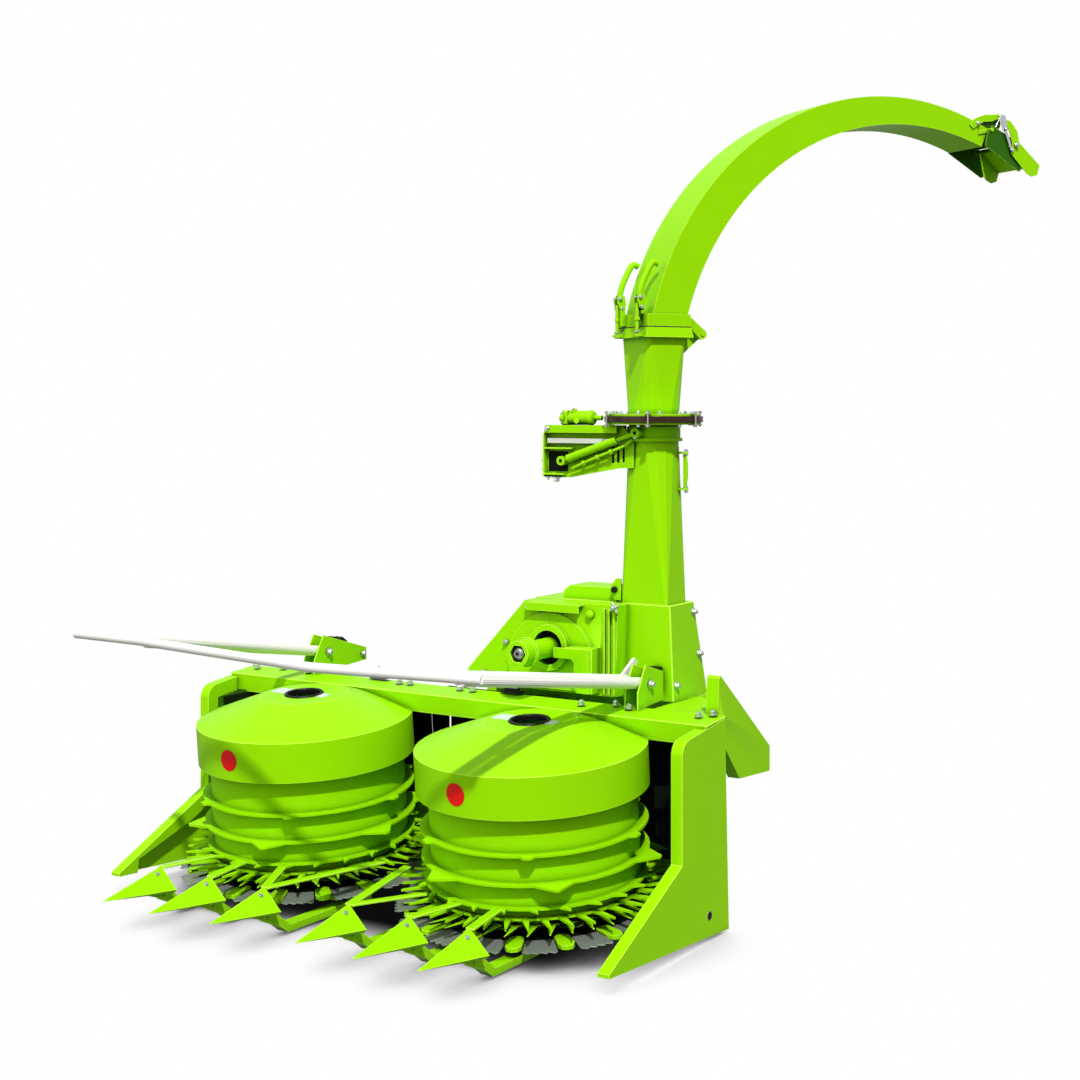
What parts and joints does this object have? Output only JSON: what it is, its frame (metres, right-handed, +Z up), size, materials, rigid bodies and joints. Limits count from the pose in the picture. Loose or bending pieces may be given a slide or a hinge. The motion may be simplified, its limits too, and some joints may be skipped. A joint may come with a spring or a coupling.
{
  "type": "tractor-mounted forage harvester",
  "caption": "Green tractor-mounted maize forage harvester with toothed intake drums over knife discs, crop dividers, a white push bar and a tall curved discharge spout.",
  "frame": {"origin": "on the ground under the middle of the header, in the plane of the side panels' front edges, on the underside of the centre skid", "axes": "+Z up, -Y towards the standing crop, +Y towards the tractor along the power input shaft, +X to the machine's side that carries the spout tower"},
  "size_m": [2.9486, 3.1935, 3.196],
  "materials": {
    "green_paint": "gloss sheet-metal paint",
    "drum_paint": "gloss paint on the drums",
    "hood_paint": "gloss paint",
    "blade_steel": "ground hardened steel",
    "bare_steel": "machined steel",
    "white_paint": "white paint",
    "wear_bronze": "worn bronze-coloured plastic ring",
    "dark_steel": "black skid steel"
  },
  "bodies": {
    "frame": {"crossbeam": "green_paint", "side_panel_left": "green_paint", "side_panel_right": "green_paint", "hood_left": "hood_paint", "hood_right": "hood_paint", "header_deck": "green_paint", "back_wall_left": "green_paint", "back_wall_right": "green_paint", "cross_tube": "green_paint", "drum_column_left": "green_paint", "drum_column_right": "green_paint", "dividers_left": "green_paint", "dividers_right": "green_paint", "guide_bars": "green_paint", "strippers": "green_paint", "feed_channel": "green_paint", "chopper_housing": "green_paint", "drive_housing": "green_paint", "main_gearbox": "green_paint", "hitch_frame": "green_paint", "centre_skid": "dark_steel", "tower_base": "green_paint", "tower_tube": "green_paint", "wear_ring": "wear_bronze", "turning_bracket": "green_paint", "turning_drive": "green_paint", "push_brackets": "green_paint", "rear_arm": "green_paint"},
    "drum_left": {"drum_left": "drum_paint"},
    "knife_left": {"knife_disc_left": "drum_paint", "knife_blades_left": "blade_steel"},
    "stand_left": {"parking_stand_left": "green_paint"},
    "drum_right": {"drum_right": "drum_paint"},
    "knife_right": {"knife_disc_right": "drum_paint", "knife_blades_right": "blade_steel"},
    "stand_right": {"parking_stand_right": "green_paint"},
    "clutch": {"clutch_shaft": "green_paint"},
    "pto": {"pto_shaft": "bare_steel"},
    "turret": {"turret": "green_paint"},
    "spout": {"spout_arch": "green_paint", "spout_clamps": "green_paint"},
    "flap_inner": {"flap_inner": "green_paint"},
    "flap_outer": {"flap_outer": "green_paint"},
    "push_bar": {"push_bar": "white_paint"}
  },
  "joints": [
    {"name": "drum_left_spin", "type": "hinge", "parent": "frame", "child": "drum_left", "pos_m": [-0.54, -0.00925, 0.36859], "axis": [0, -0.0872, 0.9962], "continuous": true},
    {"name": "knife_left_spin", "type": "hinge", "parent": "frame", "child": "knife_left", "pos_m": [-0.54, 0.01428, 0.09962], "axis": [0, -0.0872, 0.9962], "continuous": true},
    {"name": "drum_right_spin", "type": "hinge", "parent": "frame", "child": "drum_right", "pos_m": [0.54, -0.00925, 0.36859], "axis": [0, -0.0872, 0.9962], "continuous": true},
    {"name": "knife_right_spin", "type": "hinge", "parent": "frame", "child": "knife_right", "pos_m": [0.54, 0.01428, 0.09962], "axis": [0, -0.0872, 0.9962], "continuous": true},
    {"name": "clutch_spin", "type": "hinge", "parent": "frame", "child": "clutch", "pos_m": [0.352, 0.3, 0.975], "axis": [0, -1, 0], "continuous": true},
    {"name": "pto_spin", "type": "hinge", "parent": "frame", "child": "pto", "pos_m": [0, 1, 0.62], "axis": [0, 1, 0], "continuous": true},
    {"name": "spout_turn", "type": "hinge", "parent": "frame", "child": "turret", "pos_m": [0.72, 0.56, 1.882], "axis": [0, 0, 1], "range_deg": [-120, 100]},
    {"name": "spout_fold", "type": "hinge", "parent": "turret", "child": "spout", "pos_m": [0.8025, 0.70289, 2.2], "axis": [-0.866, 0.5, 0], "range_deg": [0, 60]},
    {"name": "flap_inner_tilt", "type": "hinge", "parent": "spout", "child": "flap_inner", "pos_m": [1.516, 1.93871, 3.094], "axis": [-0.866, 0.5, 0], "range_deg": [0, 35]},
    {"name": "flap_outer_tilt", "type": "hinge", "parent": "flap_inner", "child": "flap_outer", "pos_m": [1.579, 2.04783, 3.035], "axis": [-0.866, 0.5, 0], "range_deg": [0, 35]},
    {"name": "push_bar_tilt", "type": "hinge", "parent": "frame", "child": "push_bar", "pos_m": [0, 0.36, 0.874], "axis": [-1, 0, 0], "range_deg": [-3, 15]},
    {"name": "stand_left_swing", "type": "hinge", "parent": "frame", "child": "stand_left", "pos_m": [-0.27, 0.925, 0.42], "axis": [1, 0, 0], "range_deg": [0, 90]},
    {"name": "stand_right_swing", "type": "hinge", "parent": "frame", "child": "stand_right", "pos_m": [0.27, 0.925, 0.42], "axis": [1, 0, 0], "range_deg": [0, 90]}
  ],
  "couplings": [
    {"joint": "flap_outer_tilt", "follows": "flap_inner_tilt", "ratio": 1}
  ]
}
